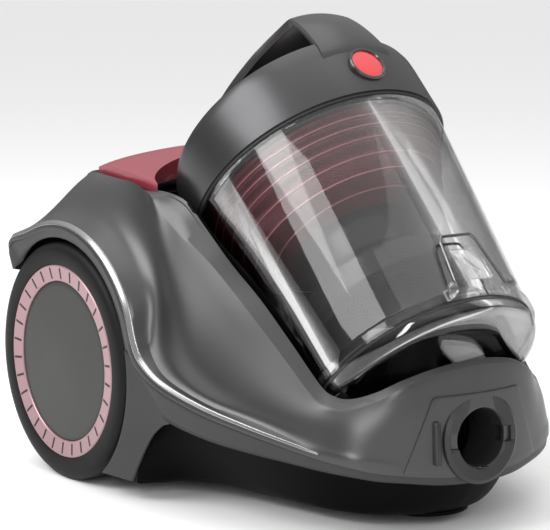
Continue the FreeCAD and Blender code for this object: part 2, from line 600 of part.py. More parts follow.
# ---------------------------------------------------------------- cyclone inside the bin
turned("cyclone_top", [
    ("90.3", "-1"), ("90.3", "-6"), ("88", "-22"), ("80", "-34"), ("78", "-50"), ("68", "-62"),
    ("66", "-62"), ("76", "-49"), ("78", "-33"), ("86", "-21"), ("88", "-6"), ("88", "-1")],
    BIN_BASE, BIN_TURN)
turned("cyclone_cone", [
    ("65.5", "-62"), ("63", "-62"), ("58", "-100"), ("32", "-150"), ("34", "-150"),
    ("60.5", "-100")], BIN_BASE, BIN_TURN)
turned("vortex_finder", [
    ("26", "-2"), ("28", "-2"), ("28", "-92"), ("26", "-92")], BIN_BASE, BIN_TURN)
shroud_body = Part.makeCylinder(68.5, 50, V(0, 0, -118)).cut(
    Part.makeCylinder(66.5, 80, V(0, 0, -130)))
holes = []
for level in range(5):
    for index in range(36):
        turn = FreeCAD.Rotation(V(0, 0, 1), 10 * index + 5 * (level % 2))
        start = turn.multVec(V(60, 0, -110 + 7 * level))
        holes.append(Part.makeCylinder(1.6, 12, start, turn.multVec(V(1, 0, 0))))
shroud = freeform(shroud_body.cut(Part.makeCompound(holes)))
keep(place(shroud, BIN_BASE, BIN_TURN), "filter_shroud")
turned("shroud_skirt", [
    ("66.5", "-118.1"), ("68.5", "-118.1"), ("76", "-130"), ("74", "-130")], BIN_BASE, BIN_TURN)
turned("dust_plate", [
    ("0", "-156"), ("40", "-156"), ("44", "-153"), ("40", "-153"), ("0", "-153")],
    BIN_BASE, BIN_TURN)

# ---------------------------------------------------------------- pedals
PEDAL_VIEW = [(38, 222.5), (38, 229.5), (98, 234), (138, 237.5), (154.6, 236), (154.6, 222.5)]
PEDAL_PLAN = [(0.5, 41.6), (111, 41.6), (104, 98), (88, 146), (86, 154.6), (0.5, 154.6)]
for label, sign in (("power_pedal", -1), ("rewind_pedal", 1)):
    plan = Part.Face(polygon([(sign * x, y, 200) for x, y in PEDAL_PLAN]))
    pedal = plan.extrude(V(0, 0, 60)).common(side_prism(PEDAL_VIEW, 130))
    pedal = pedal.cut(bin_space(0.4))
    underside = side_prism([(30, 215), (30, 226), (98, 230), (138, 233), (147.6, 232), (147.6, 215)], 130)
    inner_plan = Part.Face(polygon([(sign * (x * 0.95 + 1.5), y * 0.97 + 2, 190)
                                    for x, y in PEDAL_PLAN])).extrude(V(0, 0, 60))
    pedal = pedal.cut(underside.common(inner_plan).cut(bin_space(4)))
    biggest = max(pedal.Solids, key=lambda solid: solid.Volume)
    rod_bore = Part.makeCylinder(
        size("hinge_pin + running_gap"), 200, hinge_line, V(1, 0, 0))
    keep(freeform(biggest.cut(rod_bore)), label)

doc.recompute()
problems = []
for thing in doc.Objects:
    if "Invalid" in thing.State or "Error" in thing.State:
        problems.append(f"{thing.Name} is {thing.State}")
for thing in subparts:
    if thing.Shape.isNull() or not thing.Shape.isValid():
        problems.append(f"{thing.Label} has no valid shape")
if problems:
    raise SystemExit("\n".join(problems))

os.makedirs("parts", exist_ok=True)
for thing in subparts:
    thing.Shape.exportStep(f"parts/{thing.Label}.step")
    box = thing.Shape.BoundBox
    print(f"{thing.Label:20s} {len(thing.Shape.Solids)} solids {thing.Shape.Volume / 1000:9.2f} cm3"
          f"  X {box.XMin:7.1f} {box.XMax:7.1f}  Y {box.YMin:7.1f} {box.YMax:7.1f}"
          f"  Z {box.ZMin:7.1f} {box.ZMax:7.1f}")
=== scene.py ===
import json
import math
import bmesh
import bpy
from mathutils import Matrix, Vector


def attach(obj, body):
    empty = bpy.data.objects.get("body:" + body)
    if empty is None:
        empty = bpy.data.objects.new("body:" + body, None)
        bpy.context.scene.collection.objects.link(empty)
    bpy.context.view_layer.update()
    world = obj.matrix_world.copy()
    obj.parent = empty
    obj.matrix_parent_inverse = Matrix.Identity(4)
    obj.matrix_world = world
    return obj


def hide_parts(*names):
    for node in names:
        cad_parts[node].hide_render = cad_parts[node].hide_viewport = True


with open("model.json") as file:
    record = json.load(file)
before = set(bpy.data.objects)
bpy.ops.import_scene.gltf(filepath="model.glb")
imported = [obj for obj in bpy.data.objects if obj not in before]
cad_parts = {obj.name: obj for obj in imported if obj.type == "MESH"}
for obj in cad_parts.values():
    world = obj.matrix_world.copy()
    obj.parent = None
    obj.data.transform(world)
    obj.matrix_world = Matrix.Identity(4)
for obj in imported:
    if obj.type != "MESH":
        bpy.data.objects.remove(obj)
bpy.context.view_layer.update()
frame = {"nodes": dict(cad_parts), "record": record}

# A bagless canister vacuum cleaner.  Shapes are worked out in millimetres in the cleaner's own
# frame (+Z up, hose nose towards -Y) and scaled to metres as each piece is finished.

MM = 0.001
AXLE = Vector((0, 109.6, 90))
HALF_WIDTH, HALF_LENGTH = 154.4, 197.3
BIN_TILT = math.radians(-45)
BIN = Matrix.Translation((0, -10.6, 227.8)) @ Matrix.Rotation(BIN_TILT, 4, "X")
SOCKET = Matrix.Translation((0, -196.5, 68.5)) @ Matrix.Rotation(math.radians(90 - 4), 4, "X")


# ------------------------------------------------------------------ materials
def node_material(name):
    material = bpy.data.materials.new(name)
    material.use_nodes = True
    tree = material.node_tree
    return material, tree, tree.nodes["Principled BSDF"]


def object_noise(tree, scale, detail=4.0):
    coordinates = tree.nodes.new("ShaderNodeTexCoord")
    noise = tree.nodes.new("ShaderNodeTexNoise")
    noise.inputs["Scale"].default_value = scale
    noise.inputs["Detail"].default_value = detail
    tree.links.new(coordinates.outputs["Object"], noise.inputs["Vector"])
    return noise


def moulded(name, colour, rough, grain=1800.0, bump=0.04, coat=0.0, metallic=0.0, vary=0.06,
            specular=0.5):
    """Moulded or painted plastic: fine surface grain, and a little variation in its gloss."""
    material, tree, shader = node_material(name)
    shader.inputs["Base Color"].default_value = (*colour, 1)
    shader.inputs["Metallic"].default_value = metallic
    shader.inputs["Coat Weight"].default_value = coat
    shader.inputs["Specular IOR Level"].default_value = specular
    broad = object_noise(tree, 24.0)
    spread = tree.nodes.new("ShaderNodeMapRange")
    spread.inputs["To Min"].default_value = rough - vary
    spread.inputs["To Max"].default_value = rough + vary
    tree.links.new(broad.outputs["Fac"], spread.inputs["Value"])
    tree.links.new(spread.outputs["Result"], shader.inputs["Roughness"])
    fine = object_noise(tree, grain, 2.0)
    relief = tree.nodes.new("ShaderNodeBump")
    relief.inputs["Strength"].default_value = bump
    relief.inputs["Distance"].default_value = 0.0002
    tree.links.new(fine.outputs["Fac"], relief.inputs["Height"])
    tree.links.new(relief.outputs["Normal"], shader.inputs["Normal"])
    return material


def see_through(name, tint, gloss_colour, least, most, rough=0.03, metallic=1.0):
    """Clear or smoked plastic: a tinted window that turns glossy towards its edges."""
    material, tree, shader = node_material(name)
    shader.inputs["Base Color"].default_value = (*gloss_colour, 1)
    shader.inputs["Metallic"].default_value = metallic
    broad = object_noise(tree, 30.0)
    spread = tree.nodes.new("ShaderNodeMapRange")
    spread.inputs["To Min"].default_value = rough
    spread.inputs["To Max"].default_value = rough + 0.04
    tree.links.new(broad.outputs["Fac"], spread.inputs["Value"])
    tree.links.new(spread.outputs["Result"], shader.inputs["Roughness"])
    window = tree.nodes.new("ShaderNodeBsdfTransparent")
    window.inputs["Color"].default_value = (*tint, 1)
    facing = tree.nodes.new("ShaderNodeLayerWeight")
    facing.inputs["Blend"].default_value = 0.3
    share = tree.nodes.new("ShaderNodeMapRange")
    share.inputs["To Min"].default_value = least
    share.inputs["To Max"].default_value = most
    tree.links.new(facing.outputs["Fresnel"], share.inputs["Value"])
    mix = tree.nodes.new("ShaderNodeMixShader")
    tree.links.new(share.outputs["Result"], mix.inputs["Fac"])
    tree.links.new(window.outputs["BSDF"], mix.inputs[1])
    tree.links.new(shader.outputs["BSDF"], mix.inputs[2])
    tree.links.new(mix.outputs["Shader"], tree.nodes["Material Output"].inputs["Surface"])
    return material


SHELL = moulded("shell_grey", (0.07, 0.07, 0.071), 0.34, grain=2600, bump=0.03, metallic=0.75)
# Painted highlight: the bead is the same gunmetal as the shell, and this lighter grey stands in
# for the light that runs along it
BEAD_HIGHLIGHT = moulded("bead_painted_highlight", (0.30, 0.30, 0.30), 0.22, grain=2600, bump=0.02, metallic=0.8)
LID = moulded("lid_grey", (0.058, 0.058, 0.06), 0.30, grain=2600, bump=0.03, metallic=0.75)
TRAY = moulded("tray_black", (0.001, 0.001, 0.001), 0.5, grain=1200, bump=0.12, specular=0.06)
CRADLE = moulded("cradle_black", (0.002, 0.002, 0.002), 0.4, grain=1500, bump=0.05,
                 specular=0.12)
TRIM = moulded("trim_dark", (0.014, 0.014, 0.015), 0.4, grain=1500, bump=0.08, specular=0.35)
SOCKET_GREY = moulded("socket_grey", (0.02, 0.02, 0.021), 0.42, grain=1500, bump=0.06,
                      specular=0.4)
INNER = moulded("inner_black", (0.016, 0.016, 0.016), 0.45, grain=1200, bump=0.1)
PEDAL = moulded("pedal_red", (0.25, 0.028, 0.045), 0.38, grain=1600, bump=0.06, coat=0.15)
BADGE = moulded("badge_red", (0.62, 0.02, 0.03), 0.2, grain=900, bump=0.02, coat=0.8)
BADGE_RIM = moulded("badge_rim_black", (0.02, 0.02, 0.02), 0.25, coat=0.3)
ACCENT = moulded("accent_pink", (0.34, 0.21, 0.225), 0.34, grain=1500, bump=0.03, metallic=0.5)
TICK = moulded("tick_black", (0.012, 0.012, 0.012), 0.5)
HUB = moulded("hub_satin", (0.03, 0.03, 0.0285), 0.45, grain=1500, bump=0.04, specular=0.35)
TYRE = moulded("tyre_grey", (0.005, 0.005, 0.005), 0.5, grain=1500, bump=0.12, specular=0.15)
CASTER = moulded("caster_rubber", (0.03, 0.03, 0.03), 0.6, grain=900, bump=0.15)
SEAL = moulded("seal_rubber", (0.01, 0.01, 0.01), 0.6, grain=900, bump=0.1)
CYCLONE = see_through("cyclone_red", (0.36, 0.10, 0.12), (0.16, 0.02, 0.03), 0.5, 0.9, 0.2,
                      metallic=0.0)
CLEAR = see_through("clear_bin", (0.95, 0.95, 0.95), (0.9, 0.9, 0.9), 0.018, 0.7)
SMOKY = see_through("smoky_clear", (0.3, 0.29, 0.3), (0.02, 0.02, 0.02), 0.45, 0.9, 0.15,
                    metallic=0.0)
ROSE = moulded("ring_rose", (0.30, 0.10, 0.12), 0.3, specular=0.6)
SKIRT = moulded("skirt_grey", (0.03, 0.03, 0.031), 0.42, grain=2600, bump=0.03, specular=0.3)
CHROME = moulded("chrome_wire", (0.16, 0.16, 0.165), 0.22, metallic=1.0, vary=0.04, bump=0.02)
STEEL = moulded("steel", (0.5, 0.5, 0.52), 0.3, metallic=1.0, bump=0.05)
CORE = moulded("motor_core", (0.25, 0.12, 0.06), 0.45, metallic=0.8)
FAN = moulded("aluminium_fan", (0.7, 0.7, 0.72), 0.35, metallic=1.0)
CARBON = moulded("carbon", (0.02, 0.02, 0.02), 0.6)
FOAM = moulded("foam", (0.06, 0.06, 0.065), 0.95, grain=500, bump=0.8)
PAPER = moulded("filter_paper", (0.72, 0.72, 0.68), 0.9, grain=700, bump=0.3)
BOARD = moulded("circuit_board", (0.02, 0.12, 0.05), 0.4)
SLOT_MATERIALS = {
    "tray_black": TRAY, "shell_grey": SHELL, "cradle_black": CRADLE, "trim_dark": TRIM,
    "inner_black": INNER, "clear_bin": CLEAR, "lid_grey": LID, "badge_red": BADGE,
    "cyclone_red": CYCLONE, "smoky_clear": SMOKY, "chrome_wire": CHROME, "steel": STEEL,
    "bearing_steel": STEEL, "motor_core": CORE, "aluminium_fan": FAN, "carbon": CARBON,
    "foam": FOAM, "filter_paper": PAPER, "circuit_board": BOARD, "tyre_grey": TYRE,
    "accent_pink": ACCENT, "hub_satin": HUB, "caster_rubber": CASTER, "seal_rubber": SEAL,
    "pedal_red": PEDAL,
}


# ------------------------------------------------------------------ making pieces
def finish(name, bm, material, body, nodes=(), crease=32, where=None, thick=0.0,
           bevel=0.0):
    """Turn a bmesh in millimetres into a piece that rides on a body."""
    if where is not None:
        bmesh.ops.transform(bm, matrix=where, verts=bm.verts)
    bmesh.ops.scale(bm, vec=(MM, MM, MM), verts=bm.verts)
    for edge in bm.edges:
        if len(edge.link_faces) == 2 and edge.calc_face_angle(0) > math.radians(crease):
            edge.smooth = False
    for face in bm.faces:
        face.smooth = True
    mesh = bpy.data.meshes.new(name)
    bm.to_mesh(mesh)
    bm.free()
    materials = material if isinstance(material, (list, tuple)) else [material]
    for item in materials:
        mesh.materials.append(item)
    piece = bpy.data.objects.new(name, mesh)
    bpy.context.scene.collection.objects.link(piece)
    if thick:
        wall = piece.modifiers.new("wall", "SOLIDIFY")
        wall.thickness = thick * MM
        wall.offset = -1
    if bevel:
        edges = piece.modifiers.new("edges", "BEVEL")
        edges.width = bevel * MM
        edges.segments = 3
        edges.limit_method = "ANGLE"
        edges.angle_limit = math.radians(crease + 5)
    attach(piece, body)
    if nodes:
        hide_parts(*nodes)
    return piece


def spun(profile, steps=96, sweep=math.tau, start=0.0):
    """Turn a closed profile of (radius, height) points about Z."""
    bm = bmesh.new()
    points = [bm.verts.new((radius, 0, height)) for radius, height in profile]
    edges = [bm.edges.new(pair) for pair in zip(points, points[1:] + points[:1])]
    bmesh.ops.rotate(bm, cent=(0, 0, 0), matrix=Matrix.Rotation(start, 3, "Z"), verts=bm.verts)
    full = abs(sweep - math.tau) < 1e-6
    bmesh.ops.spin(bm, geom=points + edges, cent=(0, 0, 0), axis=(0, 0, 1), angle=sweep,
                   steps=steps, use_merge=full, use_duplicate=False)
    bmesh.ops.remove_doubles(bm, verts=bm.verts, dist=0.001)
    bmesh.ops.recalc_face_normals(bm, faces=bm.faces)
    return bm


def grid(surface, across, along):
    """A sheet whose points are surface(u, v), with u and v from 0 to 1."""
    bm = bmesh.new()
    bmesh.ops.create_grid(bm, x_segments=across, y_segments=along, size=1.0)
    for point in bm.verts:
        point.co = surface((point.co.x + 1) / 2, (point.co.y + 1) / 2)
    return bm


def outward(bm, way):
    """Turn a sheet's faces so that the ones furthest along a direction face that way."""
    bmesh.ops.recalc_face_normals(bm, faces=bm.faces)
    bm.normal_update()
    way = Vector(way)
    furthest = max(face.calc_center_median().dot(way) for face in bm.faces)
    facing = sum(face.normal.dot(way) * face.calc_area() for face in bm.faces
                 if face.calc_center_median().dot(way) > furthest - 2.0)
    if facing < 0:
        bmesh.ops.reverse_faces(bm, faces=bm.faces)


def held_in(bm):
    """Press the outermost points back to the widest the cleaner may be."""
    for point in bm.verts:
        point.co.x = min(max(point.co.x, -HALF_WIDTH), HALF_WIDTH)
        point.co.y = min(max(point.co.y, -HALF_LENGTH), HALF_LENGTH)


def spline(points, t):
    """A point on a Catmull-Rom curve through points, with t from 0 to 1."""
    place = min(max(t, 0.0), 1.0) * (len(points) - 1)
    index = min(int(place), len(points) - 2)
    part = place - index
    before = Vector(points[max(index - 1, 0)])
    start = Vector(points[index])
    end = Vector(points[index + 1])
    after = Vector(points[min(index + 2, len(points) - 1)])
    return 0.5 * (2 * start + (end - before) * part
                  + (2 * before - 5 * start + 4 * end - after) * part ** 2
                  + (3 * start - before - 3 * end + after) * part ** 3)


def mirrored(bm):
    """Add the mirror image across X = 0, and join the two along it."""
    bmesh.ops.mirror(bm, geom=list(bm.verts) + list(bm.edges) + list(bm.faces), axis="X",
                     merge_dist=0.01)
    bmesh.ops.remove_doubles(bm, verts=bm.verts, dist=0.02)
    bmesh.ops.recalc_face_normals(bm, faces=bm.faces)
    return bm


def block(size, centre, bevel=0.8, segments=3):
    bm = bmesh.new()
    bmesh.ops.create_cube(bm, size=1.0)
    bmesh.ops.scale(bm, vec=size, verts=bm.verts)
    bmesh.ops.translate(bm, vec=centre, verts=bm.verts)
    bmesh.ops.bevel(bm, geom=list(bm.edges), offset=bevel, segments=segments, profile=0.5,
                    affect="EDGES", material=-1)
    return bm


def joined(*parts):
    """Several meshes as one, each kept whole."""
    result = bmesh.new()
    for part in parts:
        mesh = bpy.data.meshes.new("part")
        part.to_mesh(mesh)
        part.free()
        result.from_mesh(mesh)
        bpy.data.meshes.remove(mesh)
    return result


def wire(points, radius, sides=10):
    """A round wire through points: a ring carried along each run, with capped ends."""
    parts = []
    for start, end in zip(points, points[1:]):
        run = Vector(end) - Vector(start)
        bm = bmesh.new()
        bmesh.ops.create_cone(bm, cap_ends=True, segments=sides, radius1=radius, radius2=radius,
                              depth=run.length)
        turn = run.to_track_quat("Z", "Y").to_matrix().to_4x4()
        bmesh.ops.transform(
            bm, matrix=Matrix.Translation((Vector(start) + Vector(end)) / 2) @ turn,
            verts=bm.verts)
        parts.append(bm)
    for point in points[1:-1]:
        bm = bmesh.new()
        bmesh.ops.create_uvsphere(bm, u_segments=sides, v_segments=6, radius=radius)
        bmesh.ops.translate(bm, vec=point, verts=bm.verts)
        parts.append(bm)
    return joined(*parts)


# ------------------------------------------------------------------ casing
# Each rib runs from the bead at the casing's lower edge up to the rim round the bin or the
# deck: bead, valley above it, lower panel, upper panel, rim outside, rim inside.
RIBS = [
    ((0, -196.4, 46), (0, -196.6, 56), (0, -195.8, 74), (0, -194.8, 100), (0, -193.6, 119),
     (0, -189, 122.5)),
    ((20, -195, 46), (20, -195.2, 56), (20, -194.3, 74), (19.7, -193.4, 99), (19.4, -192, 117.6),
     (19, -187.4, 121)),
    ((38, -190.8, 47), (38, -191, 57), (38, -190.2, 74), (37.7, -189.5, 97), (37.4, -188, 114.5),
     (36.5, -183.4, 117.5)),
    ((58, -183.4, 49.5), (58, -183.2, 58.5), (57.7, -182.8, 73), (57.7, -182.3, 93),
     (57, -180, 107), (55, -175, 110.5)),
    ((75, -175, 52), (75, -174.6, 61), (74.5, -173.5, 73), (73.5, -171.5, 85),
     (71.5, -169, 97), (68, -164.5, 102.5)),
    ((90, -164.5, 56), (89.5, -163.5, 65), (88.5, -162, 75), (87, -160, 84), (84, -157.5, 92),
     (80, -152.5, 97.5)),
    ((103, -147, 60), (101.5, -146, 68), (99, -146, 77), (96, -147, 85), (92, -147.5, 92),
     (86, -141.5, 98.5)),
    ((113, -129, 64.5), (110, -126, 72), (109.5, -125, 80), (105, -129, 88), (97, -133, 97.5),
     (88.8, -130, 104.5)),
    ((128, -97.4, 72), (123.5, -93, 80), (123.5, -90, 91), (116, -95, 106), (103.5, -102, 125),
     (93, -103, 129)),
    ((140, -58.4, 80), (133, -54, 88), (136, -50, 102), (125, -60, 127), (110, -71, 152),
     (97.5, -72, 156)),
    ((149, -20, 91), (138, -20, 101), (137, -32, 124), (127, -34, 149), (114, -38, 176),
     (101, -40, 178.5)),
    ((153, 2, 103), (136, -2, 117), (133, -12, 148), (126, -10, 170), (117, -6, 194),
     (103.5, -10, 202)),
    ((155, 11.1, 116.4), (133, 6, 134), (129, 4, 168), (124, 10, 188), (118, 18, 206),
     (105, 12, 218)),
    ((155, 21.3, 141), (132, 15, 158), (126, 18, 184), (122, 27, 203), (118, 39, 220),
     (109, 36, 223)),
    ((155, 37.5, 162.1), (133, 34, 175), (125, 39, 195), (120, 48, 211), (114, 58, 224),
     (110, 56, 221)),
    ((155, 58.6, 178.3), (134, 58, 189), (124, 62, 203), (118, 69, 215), (110, 78, 226),
     (106, 77, 222)),
    ((155, 83.2, 188.5), (135, 84, 198), (124, 86, 209), (116, 92, 220), (107, 100, 226),
     (103, 99, 221)),
    ((155, 109.6, 192), (136, 111, 201), (124, 114, 212), (113, 119, 222), (103, 122, 226),
     (100, 120, 221)),
    ((155, 136, 188.5), (137, 140, 199), (122, 146, 211), (109, 147, 222), (99, 143, 226),
     (96, 141, 221)),
    ((155, 162, 180), (137, 166, 190), (118, 170, 203), (104, 167, 217), (95, 158, 226),
     (92, 155, 221)),
    ((155, 184, 173.5), (138, 187, 178), (112, 187, 193), (90, 179, 211), (64, 161, 227),
     (62, 157, 221)),
    ((153, 187, 163), (130, 190, 168), (102, 193, 184), (78, 186, 204), (41, 162, 228),
     (40, 158, 221)),
    ((118, 188, 150), (110, 191, 153), (90, 196, 160), (62, 189, 192), (24, 162.5, 230),
     (23, 158, 224)),
    ((115, 188, 100), (104, 194, 102), (80, 197.5, 118), (42, 191.5, 184), (12, 163, 230),
     (11, 158.5, 224)),
    ((112, 190, 52), (100, 196, 54), (50, 198.8, 98), (22, 192, 180), (5, 163, 230),
     (5, 159, 224)),
    ((0, 199.2, 52), (0, 199.2, 54), (0, 199.2, 98), (0, 192.3, 178), (0, 163, 230),
     (0, 159, 224)),
]
ARCH_START, ARCH_END = 12, 20      # the ribs where the wheel arch starts and ends
SKIRT_ROWS = 1
SKIRT_DEPTHS = (8, 8, 8, 8, 8.5, 9.5, 11, 13, 17, 21, 24, 22, 9)
PANEL_ROWS = 24
PANEL_SMOOTHING = 24
# where along the outline the painted-highlight strip over the bead starts and ends
BEAD_HIGHLIGHT_START, BEAD_HIGHLIGHT_END = 0.24, 0.8
FOLD_ROWS = 3
MOUTH, MOUTH_RADIUS = Vector((0, -197.4, 68.5)), 28


def rib_up(t):
    """The direction across the bead: up at the front, away from the wheel over the arch."""
    place = t * (len(RIBS) - 1)
    bead = spline([rib[0] for rib in RIBS], t)
    radial = Vector((0, bead.y - AXLE.y, bead.z - AXLE.z)).normalized()
    start = min(max((place - ARCH_START + 2) / 2, 0), 1)
    end = min(max(ARCH_END + 1 - place, 0), 1)
    if place > ARCH_END:
        return (radial * end + Vector((0, 0, 1)) * (1 - end)).normalized()
    return (radial * start + Vector((0, 0, 1)) * (1 - start)).normalized()


def casing_point(t, row):
    """A point on the casing, t along its outline and row up the rib."""
    up = rib_up(t)
    place = t * (len(RIBS) - 1)
    curves = [spline([rib[level] for rib in RIBS], t) for level in range(6)]
    bead, valley, low, high, rim, inside = curves
    share = min(max((place - 5) / 4, 0.0), 1.0)
    top = bead + up * (1.6 + 1.8 * share)
    top = top + (valley - top) * (0.08 + 0.14 * share)
    if row <= SKIRT_ROWS:
        return bead - up * 2.6 * (1 - row / (SKIRT_ROWS + 1))
    if row <= SKIRT_ROWS + 2:
        return bead + (top - bead) * (0.25 + 0.75 * (row - SKIRT_ROWS - 1))
    panel_row = row - SKIRT_ROWS - 2
    if panel_row <= PANEL_ROWS:
        return spline([top, valley, low, high, rim], panel_row / PANEL_ROWS)
    band_row = panel_row - PANEL_ROWS
    if band_row <= 2:
        return rim + (inside - rim) * band_row / 2
    tuck = 1.2 if place < 5 else 0.0
    return inside + Vector((0.0, tuck, -1.6)) * (band_row - 2)


def skirt_point(t, v):
    """The dark band that hangs from the bead."""
    place = t * (len(RIBS) - 1)
    bead = spline([rib[0] for rib in RIBS], t)
    if place < ARCH_START:
        depth = spline([(value, 0, 0) for value in SKIRT_DEPTHS], place / ARCH_START).x
    else:
        depth = max(6.0, math.hypot(bead.y - AXLE.y, bead.z - AXLE.z) - 93.5)
    fall = 1.5 + (depth - 1.5) * (1 - v)
    inward = Vector((0.18 * fall + 0.4 if bead.x > 1 else 0.0, 0, 0))
    return bead - rib_up(t) * fall - inward


def make_casing():
    rows = SKIRT_ROWS + 2 + PANEL_ROWS + 2 + FOLD_ROWS
    columns = (len(RIBS) - 1) * 6
    bm = grid(lambda u, v: casing_point(u, round(v * rows)), columns, rows)
    bm.verts.ensure_lookup_table()
    first, last = SKIRT_ROWS + 6, SKIRT_ROWS + PANEL_ROWS - 1
    panel = [point for index, point in enumerate(bm.verts)
             if first <= index // (columns + 1) <= last and not point.is_boundary]
    for _ in range(PANEL_SMOOTHING):
        bmesh.ops.smooth_vert(bm, verts=panel, factor=0.5, use_axis_x=True, use_axis_y=True,
                              use_axis_z=True)
    mirrored(bm)
    mouth = [face for face in bm.faces if face.calc_center_median().y < -150
              and (face.calc_center_median() - MOUTH).length < MOUTH_RADIUS]
    bmesh.ops.delete(bm, geom=mouth, context="FACES")
    held_in(bm)
    outward(bm, (0, 1, 0))
    finish("casing", bm, SHELL, "chassis", ["upper_shell"], crease=28, thick=2.2,
           bevel=0.5)
    # A thin strip laid just outside the bead along the arch and crease in the lighter grey: a
    # painted highlight, not a colour of the bead's own
    bead = grid(lambda u, v: casing_point(BEAD_HIGHLIGHT_START + u * (BEAD_HIGHLIGHT_END - BEAD_HIGHLIGHT_START),
                                          SKIRT_ROWS + 1.05 + 0.9 * v), 96, 4)
    for point in bead.verts:
        point.co.x += 0.35
    mirrored(bead)
    held_in(bead)
    outward(bead, (0, 1, 0))
    finish("casing_bead_highlight", bead, BEAD_HIGHLIGHT, "chassis", thick=0.6)
    band = grid(lambda u, v: skirt_point(u, v), columns, 4)
    mirrored(band)
    held_in(band)
    outward(band, (0, 1, 0))
    finish("skirt_band", band, SKIRT, "chassis", thick=2.2)


def make_front_legs():
    """The two legs of the skirt that come down in front of the wheels."""
    parts = []
    for side in (-1, 1):
        def leg(u, v, side=side):
            angle = math.radians(166 + 66 * (1 - v))
            back = Vector((154.4, AXLE.y + 94 * math.cos(angle), AXLE.z + 94 * math.sin(angle)))
            front = spline([(148.5, 19, 15), (148, 10, 30), (147, 2, 43), (145.5, -6, 54),
                            (144, -16, 62), (143, -24, 66), (145, -22, 78), (151, -4, 99)], v)
            point = back + (front - back) * u
            point.x *= side
            return point
        parts.append(grid(leg, 12, 24))
    bm = joined(*parts)
    bmesh.ops.recalc_face_normals(bm, faces=bm.faces)
    finish("front_legs", bm, SKIRT, "chassis", thick=2.4, bevel=0.5)


TRAY_TOP = [(0, -190, 40), (20, -187, 40), (36, -179, 40), (50, -167, 41), (63, -151, 42),
            (73, -140, 44), (84, -128, 47), (99, -114, 54), (119, -85, 63), (130, -52, 66),
            (136, -20, 72), (142, 4, 78), (140, 16, 78), (113, 18, 78), (112, 60, 60),
            (112, 120, 52),
            (112, 184, 50), (98, 195, 50), (50, 197, 50), (0, 197, 50)]
TRAY_FOOT = [(0, -164, 10), (20, -160, 10), (38, -151, 10), (52, -140, 10), (61, -126, 10),
             (67, -113, 10), (72, -92, 10), (76, -70, 10), (80, -45, 10), (88, -8, 10),
             (104, 12, 10), (122, 17, 11), (143, 20, 13), (134, 24, 12), (110, 24, 10),
             (108, 60, 10), (108, 120, 10),
             (108, 180, 10), (95, 190, 10), (50, 192, 10), (0, 192, 10)]


def make_tray():
    def wall(u, v):
        top = spline(TRAY_TOP, u)
        foot = spline(TRAY_FOOT, u)
        swell = (top - foot) * v
        swell.z = (top.z - foot.z) * v ** 1.35
        return foot + swell
    bm = grid(wall, (len(TRAY_TOP) - 1) * 4, 10)
    mirrored(bm)
    foot_edges = [edge for edge in bm.edges if edge.is_boundary
                  and all(point.co.z < 10.5 for point in edge.verts)]
    ring = bmesh.ops.create_circle(bm, segments=48, radius=32,
                                   matrix=Matrix.Translation((0, -133, 10)))
    ring_edges = list({edge for point in ring["verts"] for edge in point.link_edges})
    bmesh.ops.triangle_fill(bm, use_beauty=True, use_dissolve=False,
                            edges=foot_edges + ring_edges, normal=(0, 0, -1))
    bmesh.ops.recalc_face_normals(bm, faces=bm.faces)
    finish("base_tray_visual", bm, TRAY, "chassis", ["base_tray"], thick=2.5)


RIM_RIBS = range(5, 14)
TROUGH_TOP, TROUGH_LENGTH, TROUGH_END = 57, 253, 0.85
CRADLE_TOP, DECK_TOP = 216.5, 213.4


def make_cradle():
    """The dark trough that the bin lies in, from the rim inside edge round behind the bin."""
    rim = [Vector(RIBS[index][5]) for index in RIM_RIBS]
    into_bin = BIN.inverted()
    rim_local = sorted((into_bin @ point for point in rim), key=lambda point: -point.z)

    def trough(u, v):
        depth = TROUGH_TOP - TROUGH_LENGTH * min(v / TROUGH_END, 1.0)
        at = min(max((TROUGH_TOP - depth) / TROUGH_LENGTH, 0), 1)
        edge = spline(rim_local, at)
        half = edge.x - 0.3
        if depth > -8:
            half = 105.5
        back = 108 - 17.5 * at
        angle = math.pi * (u - 0.5)
        point = Vector((half * math.sin(angle), edge.y + (back - edge.y) * math.cos(angle),
                        depth))
        if v > TROUGH_END:
            shrink = 1 - (v - TROUGH_END) / (1 - TROUGH_END)
            point.x *= shrink
            point.y = point.y * shrink
        return point
    bm = grid(trough, 48, 40)
    bmesh.ops.transform(bm, matrix=BIN, verts=bm.verts)
    bmesh.ops.bisect_plane(bm, geom=list(bm.verts) + list(bm.edges) + list(bm.faces),
                           plane_co=(0, 0, CRADLE_TOP), plane_no=(0, 0, 1), clear_outer=True)
    bmesh.ops.recalc_face_normals(bm, faces=bm.faces)
    finish("bin_cradle_visual", bm, CRADLE, "chassis", ["bin_cradle"],
           crease=50)


def front_edge(x, gap=0.0):
    """The pedals' edge round the lid, as Y, at a distance x from the centre line."""
    return 29 + (79 + gap) * math.sqrt(max(0.0, 1 - (x / (110 + gap)) ** 2))


def deck_half(y):
    return 111 - 7 * (y - 41) / 57 if y < 98 else 104 - 11 * (y - 98) / 57


def make_deck():
    def deck(u, v):
        x = (2 * u - 1) * 111
        start = max(front_edge(x, 1.0), 38)
        y = start + (159.5 - start) * v
        return Vector((x * min(1.0, (deck_half(y) + 1) / 111), y, DECK_TOP))
    bm = grid(deck, 48, 12)
    bmesh.ops.recalc_face_normals(bm, faces=bm.faces)
    finish("pedal_deck", bm, TRIM, "chassis")


